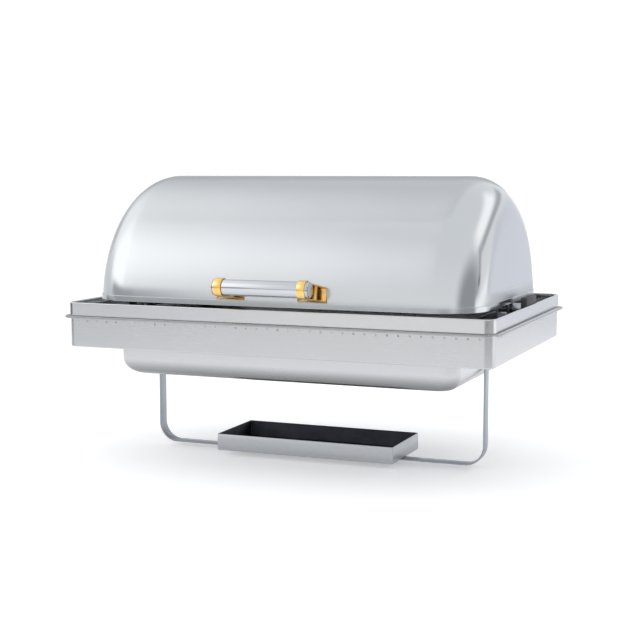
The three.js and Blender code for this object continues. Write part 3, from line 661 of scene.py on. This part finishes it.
def swept_strap():
    """The carrier strap: rounded flat bar along a path in X and Z, bent through four corners."""
    low, high = extent("carrier_strap")
    centre_y, half_width = (low[1] + high[1]) / 2, (high[1] - low[1]) / 2
    bottom, tab_z = low[2] + STRAP_HALF, high[2] - STRAP_HALF
    path = [(Vector((high[0], tab_z)), Vector((0, 1)))]
    tab_centre = Vector((STRAP_ARM_X + STRAP_TAB_BEND, tab_z - STRAP_TAB_BEND))
    for turn in arc(8):
        way = Vector((math.cos(QUARTER_TURN + turn), math.sin(QUARTER_TURN + turn)))
        path.append((tab_centre + way * STRAP_TAB_BEND, way))
    bend_centre = Vector((STRAP_ARM_X - STRAP_BEND, bottom + STRAP_BEND))
    for turn in arc(16):
        way = Vector((math.cos(-turn), math.sin(-turn)))
        path.append((bend_centre + way * STRAP_BEND, -way))
    mirrored = [(Vector((-p.x, p.y)), Vector((-w.x, w.y))) for p, w in reversed(path)]
    signs = ((-1, -1), (1, -1), (1, 1), (-1, 1))
    section = eased([(a * STRAP_HALF, b * half_width, 0.45) for a, b in signs], 3)
    rings = [[(point.x + way.x * a, centre_y + b, point.y + way.y * a) for a, b in section]
             for point, way in path + mirrored]
    make("bent_strap", *loft(rings, False), looks["strap"], ["carrier_strap"], "housing", "plain_steel", 40)


def tray():
    """Folded sheet tray, eased along its folds and its top edge."""
    (_, front, low), (half_x, rear, top) = extent("fuel_tray")
    half_y, centre_y = (rear - front) / 2, (rear + front) / 2
    floor_top, inner_corner = low + TRAY_SHEET, TRAY_CORNER * 0.7
    # Levels are (distance in from the outside, corner radius, height).
    levels = [(TRAY_FOLD * (1 - math.sin(turn)), TRAY_CORNER, low + TRAY_FOLD * (1 - math.cos(turn)))
              for turn in arc(3)]
    levels += [
        (0.0, TRAY_CORNER, top - 0.35), (0.2, TRAY_CORNER, top - 0.05), (0.5, TRAY_CORNER, top),
        (0.8, TRAY_CORNER * 0.8, top - 0.05), (TRAY_SHEET, inner_corner, top - 0.35),
        (TRAY_SHEET, inner_corner, floor_top + 1.0), (TRAY_SHEET + 0.3, inner_corner, floor_top + 0.3),
        (TRAY_SHEET + 1.0, inner_corner, floor_top),
    ]
    rings = [rounded_ring(half_x - d, half_y - d, corner, z, 6) for d, corner, z in levels]
    rings = [[(x, y + centre_y, z) for x, y, z in ring] for ring in rings]
    make("folded_tray", *loft(rings, False), looks["tray"], ["fuel_tray"], "housing", "tray_steel", 45)


# ---- handle --------------------------------------------------------------------------------------

def grip_piece(name, profile, closed, node, steps=48):
    """A turned piece on the handle's axis, which stands off the cover's front."""
    angle = math.radians(GRIP_ANGLE)
    foot = Vector((0, -COVER_R * math.cos(angle), AXIS_Z + COVER_R * math.sin(angle)))
    place = (Matrix.Translation(foot) @ Matrix.Rotation(QUARTER_TURN - angle, 4, "X")
             @ Matrix.Translation((0, GRIP_RISE, GRIP_STAND_OFF)))
    vertices, faces = loft(turned(profile, steps), closed)
    vertices = [tuple(place @ Vector(v)) for v in vertices]
    make(name, vertices, faces, looks["tube"], [node], "cover", "bright_steel", 45)


def handle_tube():
    """Tube: outer skin, eased lips and inner skin."""
    ends = ((-TUBE_END, TUBE_R), (TUBE_END, TUBE_R), (TUBE_END, TUBE_INNER_R), (-TUBE_END, TUBE_INNER_R))
    profile = eased([(along, radius, 0.4) for along, radius in ends])
    grip_piece("grip_tube", profile, True, "handle_tube", 64)


def handle_plugs():
    """Plugs: a spigot inside the tube and a domed cap that clears the tube's end."""
    clearance, rim_ease, dome_base, face_r = 0.3, 0.2, 9.2, 8.6
    cap_start = TUBE_END + clearance
    dome_start = cap_start + rim_ease
    for side, sign in SIDES:
        profile = [(PLUG_START, 0.0), (PLUG_START, PLUG_R - PLUG_EDGE), (PLUG_START + PLUG_EDGE, PLUG_R),
                   (cap_start, PLUG_R), (cap_start, TUBE_R - 0.3), (dome_start, TUBE_R)]
        for turn in arc(6)[1:-1]:
            profile.append((dome_start + (PLUG_END - dome_start) * math.sin(turn),
                            dome_base + (TUBE_R - dome_base) * math.cos(turn)))
        profile += [(PLUG_END, face_r), (PLUG_END, 0.0)]
        grip_piece(f"end_plug_{side}", [(sign * x, r) for x, r in profile], False, f"handle_plug_{side}")


# ---- the pieces ----------------------------------------------------------------------------------

cover_shell()
cover_hem()
rim()
skirt()
weld_marks()
pan_piece("drawn_water_pan", WATER_PAN, looks["pan"], "water_pan", "housing", "satin_steel")
pan_piece("drawn_food_pan", FOOD_PAN, looks["food"], "food_pan", "food_pan", "bright_steel")
swept_strap()
tray()
handle_tube()
handle_plugs()

# Nodes on both sides that keep their CAD shape, each with its look and bevel.
PAIRED = (
    ("cover_ear_{}", "plate", 0.3),
    ("collar_lug_{}", "plate", 0.3),
    ("inner_spacer_{}", "plate", 0.25),
    ("outer_spacer_{}", "plate", 0.25),
    ("pivot_bush_{}", "nylon", 0.2),
    ("pivot_pin_{}", "tube", 0.25),
    ("pivot_block_{}", "block", 0.5),
    ("block_nut_{}_1", "fastener", 0.2),
    ("block_nut_{}_2", "fastener", 0.2),
    ("strap_screw_{}", "fastener", 0.15),
    ("strap_nut_{}", "fastener", 0.25),
    ("tray_screw_{}", "fastener", 0.15),
    ("tray_nut_{}", "fastener", 0.25),
    ("closed_bumper_{}", "rubber", 0.8),
    ("open_bumper_{}", "rubber", 0.8),
    ("handle_bracket_{}", "brass", 0.35),
    ("handle_washer_{}", "fastener", 0.2),
    ("handle_screw_{}", "fastener", 0.15),
    ("handle_nut_{}", "fastener", 0.3),
)

# The well deck takes the near-black coat, as painted shade in the well.
refine("well_deck", looks["deck_shade"], 0.4)
refine("pan_collar", looks["plate"], 0.3)
for side, _ in SIDES:
    for pattern, look, bevel in PAIRED:
        refine(pattern.format(side), looks[look], bevel)


# ---- stage, light and camera ---------------------------------------------------------------------

def floor():
    """A pale round floor under the unit that fades into the studio beyond it."""
    gap, radius, fade_from, fade_to = 0.0005, 6.0, 1.0, 2.4
    mesh = bpy.data.meshes.new("floor")
    bm = bmesh.new()
    bmesh.ops.create_circle(bm, cap_ends=True, radius=radius, segments=96)
    bm.to_mesh(mesh)
    bm.free()
    plane = bpy.data.objects.new("floor", mesh)
    plane.location.z = cad_bounds[0].z - gap
    bpy.context.scene.collection.objects.link(plane)
    n = Look("pale_floor")
    colour = n.mix(n.noise(40, (1, 1, 1), 3), (0.90, 0.90, 0.905), (0.93, 0.93, 0.93))
    n.set(Base_Color=colour, Roughness=0.9, Specular_IOR_Level=0.1,
          Emission_Color=(1.0, 1.0, 1.0), Emission_Strength=0.30)
    distance = n.new("ShaderNodeVectorMath", operation="LENGTH")
    n.link(n.coords, distance.inputs[0])
    fade = n.spread(distance.outputs["Value"], fade_from, fade_to, interpolation_type="SMOOTHSTEP")
    blend = n.new("ShaderNodeMixShader")
    n.link(fade, blend.inputs[0])
    n.link(n.shader.outputs[0], blend.inputs[1])
    n.link(n.new("ShaderNodeBsdfTransparent").outputs[0], blend.inputs[2])
    n.link(blend.outputs[0], n.tree.nodes["Material Output"].inputs["Surface"])
    mesh.materials.append(n.material)


# Degrees throughout. Bearings run from the front towards the right, heights up from the horizon. A Patch is
# bounded each way by (low edge, its softness, high edge, its softness), and goes right round where its
# bearings are None. A Disc has a centre (bearing, height), a radius and its softness.
Patch = namedtuple("Patch", "level tone bearings heights")
Disc = namedtuple("Disc", "level tone centre radius soft")
PLAIN, COOL, COLD = (1, 1, 1), (0.97, 0.995, 1.03), (0.96, 0.985, 1.06)
BASE_LEVEL, SEEN_LEVEL = 1.06, 1.1  # the studio under its patches, and what the camera sees behind the unit
STUDIO = (
    Patch(0.96, COOL, None, (23, 40, 120, 1)),                     # overhead
    Patch(0.66, COOL, (-178, 10, -67, 3), (-100, 1, 48, 90)),      # unlit side behind on the left
    Disc(1.30, PLAIN, (-92, 36), 30, 17),                          # wide glow round the soft box
    Disc(1.62, PLAIN, (-59, 26), 27, 12),                          # large soft box on the left
    Patch(1.02, COOL, (-135, 12, -88, 3), (-5, 5, 16, 6)),         # cut-off edge of the soft box
    Patch(0.70, COOL, (-178, 10, -112, 6), (-5, 5, 20, 6)),        # darker corner behind it
    Patch(0.88, COOL, (-178, 10, -28, 6), (-40, 5, 7, 6)),         # grey below the soft box
    Patch(0.40, COOL, (-62, 8, 32, 12), (-2.8, 1.2, 2.2, 4.0)),    # dark strip where floor and wall meet
    Patch(0.50, COOL, (-72, 8, -28.5, 2), (1, 1.5, 9, 3)),         # dark stand low on the left
    Patch(0.03, COOL, (-96, 3, -66, 3), (-40, 4, -2, 2)),          # its foot
    Patch(0.20, COOL, (3, 8, 60, 14), (-40, 5, -2, 3)),            # dark foot of the camera side
    Disc(0.44, COOL, (78, -2), 30, 12),                            # dark flag on the right
    Patch(1.38, PLAIN, (97, 5, 140, 12), (-14, 6, 2, 3)),          # bright card low on the right
    Patch(1.42, PLAIN, (100, 12, 160, 8), (28, 3, 42, 5)),         # bright card above the backdrop
    Patch(0.88, COLD, (142, 6, 176, 2), (-60, 5, 14, 5)),          # cool side light on the cheek
    Patch(0.50, COOL, (106, 1.5, 111, 1.5), (7, 1, 26, 2)),        # edge of the backdrop
    Patch(0.10, COOL, (105, 1.5, 110, 1.5), (6.5, 0.7, 10, 1)),    # its clamp
    Patch(0.58, COOL, (112, 4, 172, 5), (19, 1.5, 25.5, 2)),       # top edge of the backdrop
    Patch(0.57, COOL, (-176, 6, -138, 6), (9, 2, 27, 9)),          # band above the horizon, behind
    Patch(1.20, PLAIN, (-182, 3, -138, 4), (-90, 1, 9, 1.5)),      # pale horizon, behind
)


def studio():
    """Soft studio: each patch of light or shade lies over those before it."""
    world = bpy.data.worlds.new("studio")
    bpy.context.scene.world = world
    world.use_nodes = True
    sky = Graph(world.node_tree)
    direction = sky.new("ShaderNodeTexCoord").outputs["Generated"]
    x, y, z = sky.split(direction)

    def in_degrees(angle):
        return sky.math("MULTIPLY", angle, 180 / math.pi)

    def step(source, start, soft):
        return sky.spread(source, start - soft, start + soft, interpolation_type="SMOOTHSTEP")

    def band(source, low, low_soft, high, high_soft):
        fall = sky.math("SUBTRACT", 1.0, step(source, high, high_soft))
        return sky.math("MULTIPLY", step(source, low, low_soft), fall)

    def disc(side, up, radius, soft):
        turn, lift = math.radians(side), math.radians(up)
        level = math.cos(lift)
        dot = sky.new("ShaderNodeVectorMath", operation="DOT_PRODUCT")
        sky.link(direction, dot.inputs[0])
        dot.inputs[1].default_value = (level * math.sin(turn), -level * math.cos(turn), math.sin(lift))
        off = in_degrees(sky.math("ARCCOSINE", dot.outputs["Value"]))
        return sky.math("SUBTRACT", 1.0, step(off, radius, soft))

    bearing = in_degrees(sky.math("ARCTAN2", x, sky.math("MULTIPLY", y, -1.0)))
    height = in_degrees(sky.math("ARCSINE", z))
    colour = (BASE_LEVEL,) * 3
    for patch in STUDIO:
        if isinstance(patch, Disc):
            mask = disc(*patch.centre, patch.radius, patch.soft)
        else:
            mask = band(height, *patch.heights)
            if patch.bearings:
                mask = sky.math("MULTIPLY", mask, band(bearing, *patch.bearings))
        colour = sky.mix(mask, colour, tuple(patch.level * channel for channel in patch.tone))
    light = sky.tree.nodes["Background"]
    sky.feed(light.inputs["Color"], colour)
    seen = sky.new("ShaderNodeBackground")
    sky.feed(seen.inputs["Color"], PLAIN)
    sky.feed(seen.inputs["Strength"], SEEN_LEVEL)
    blend = sky.new("ShaderNodeMixShader")
    sky.link(sky.new("ShaderNodeLightPath").outputs["Is Camera Ray"], blend.inputs[0])
    sky.link(light.outputs[0], blend.inputs[1])
    sky.link(seen.outputs[0], blend.inputs[2])
    sky.link(blend.outputs[0], sky.tree.nodes["World Output"].inputs["Surface"])


def camera():
    """A view of the serving side, a little from the right and from above."""
    place, turn, dip = (0.7412, -1.8494, 0.2091), 0.382, 0.110
    data = bpy.data.cameras.new("camera")
    data.lens = 76.3
    data.sensor_width = 36
    seat = bpy.data.objects.new("camera", data)
    seat.location = place
    seat.rotation_euler = (QUARTER_TURN - dip, 0, turn)
    bpy.context.scene.collection.objects.link(seat)
    bpy.context.scene.camera = seat


floor()
studio()
camera()
bpy.context.scene.view_settings.view_transform = "Standard"
